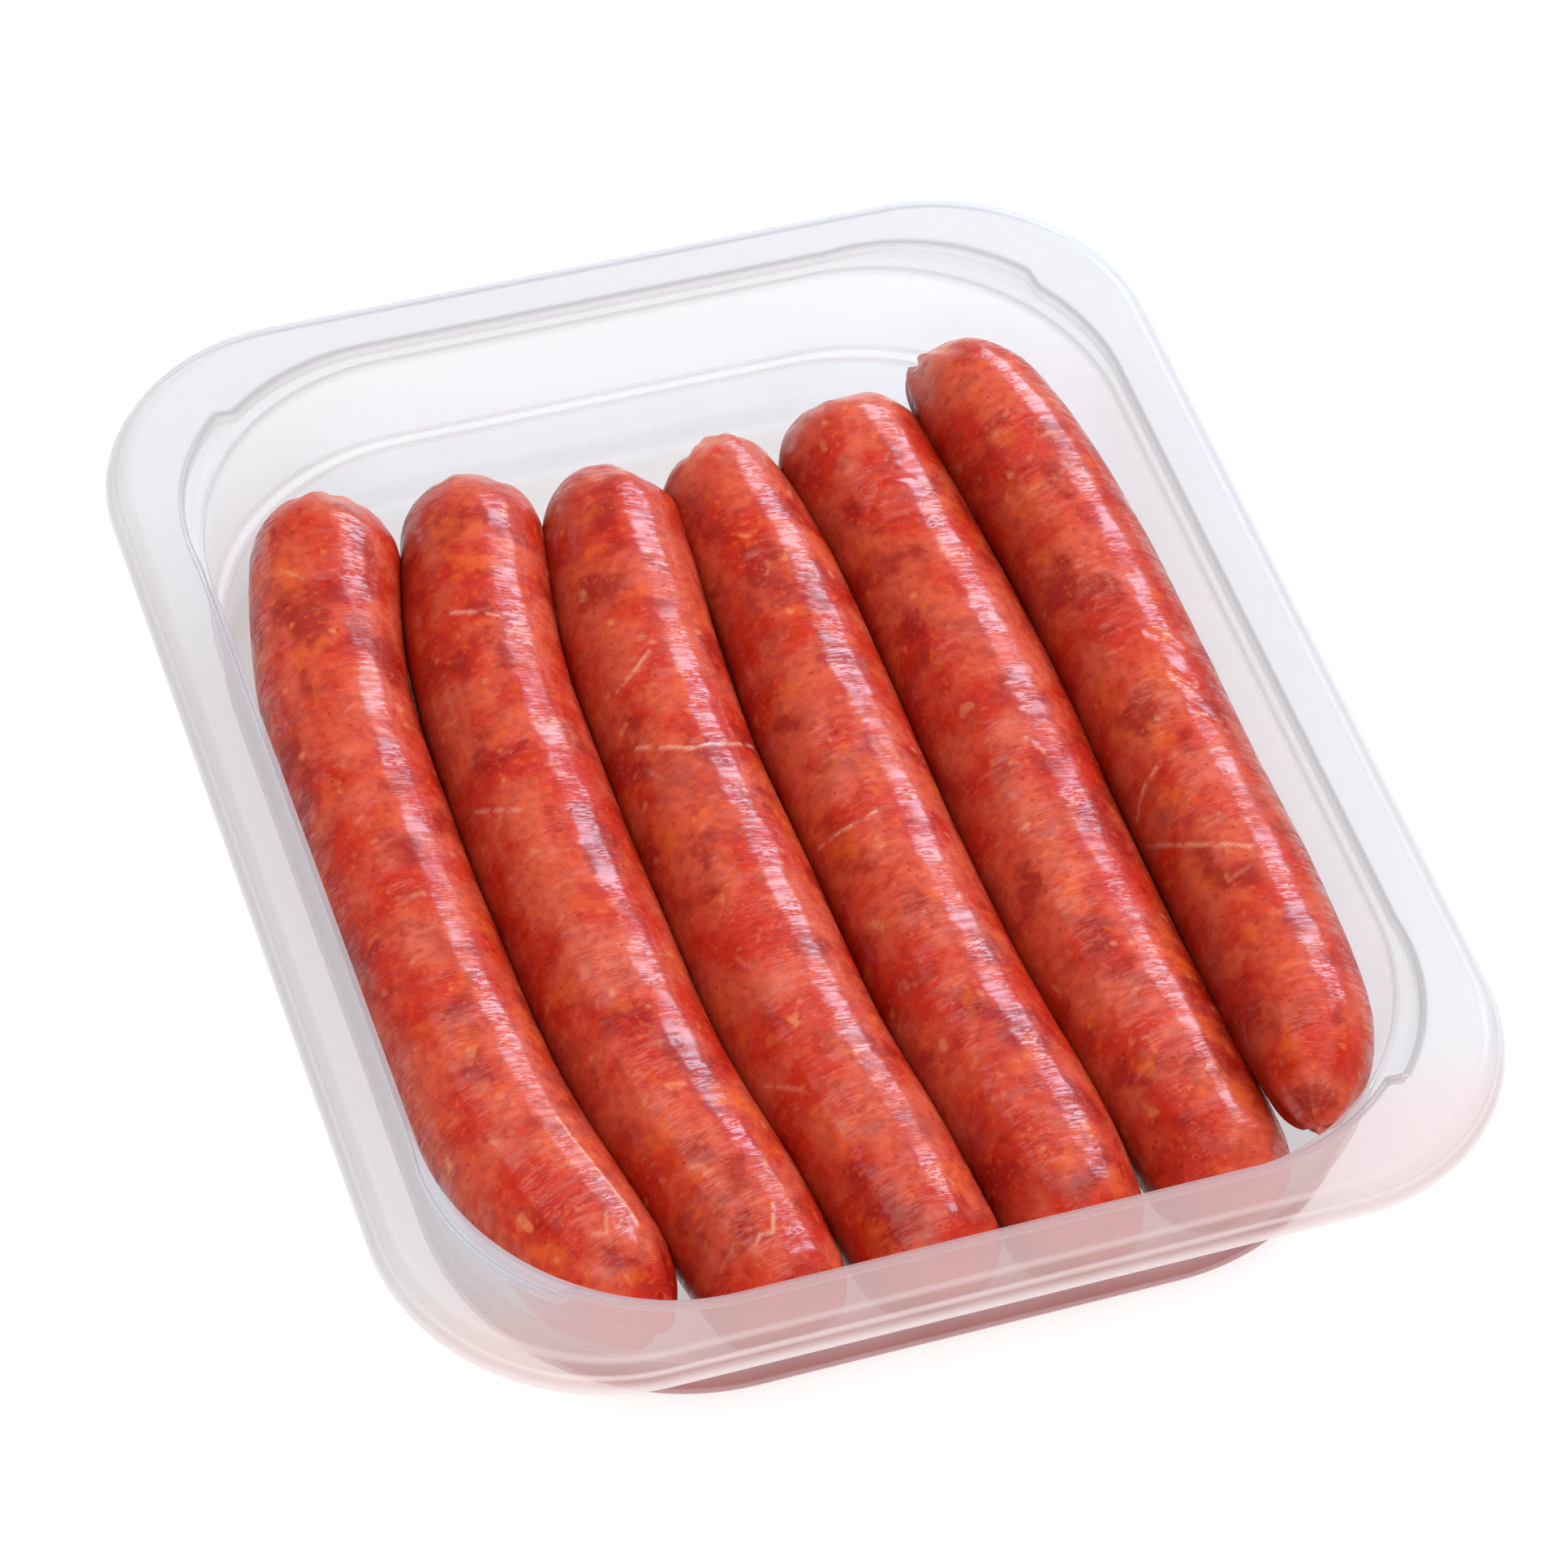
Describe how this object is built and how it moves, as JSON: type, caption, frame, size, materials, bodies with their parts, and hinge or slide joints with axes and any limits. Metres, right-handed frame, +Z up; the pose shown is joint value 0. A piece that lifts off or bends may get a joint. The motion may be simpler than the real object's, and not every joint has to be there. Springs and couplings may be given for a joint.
{
  "type": "tray of raw sausages",
  "caption": "Raw sausages laid side by side, slightly bowed, in an open clear plastic tray with a broad flange and rounded corners.",
  "frame": {"origin": "centre of the tray's base on the standing plane", "axes": "+Z up, X across the sausages and the tray's short side, +Y along the sausages towards their far ends"},
  "size_m": [0.178, 0.217, 0.035],
  "materials": {
    "tray": "clear thermoformed film, slightly frosted",
    "sausage": "moist coarse raw meat under a thin glossy casing"
  },
  "bodies": {
    "root": {"tray": "tray", "sausage_1": "sausage", "sausage_2": "sausage", "sausage_3": "sausage", "sausage_4": "sausage", "sausage_5": "sausage", "sausage_6": "sausage"}
  },
  "joints": []
}
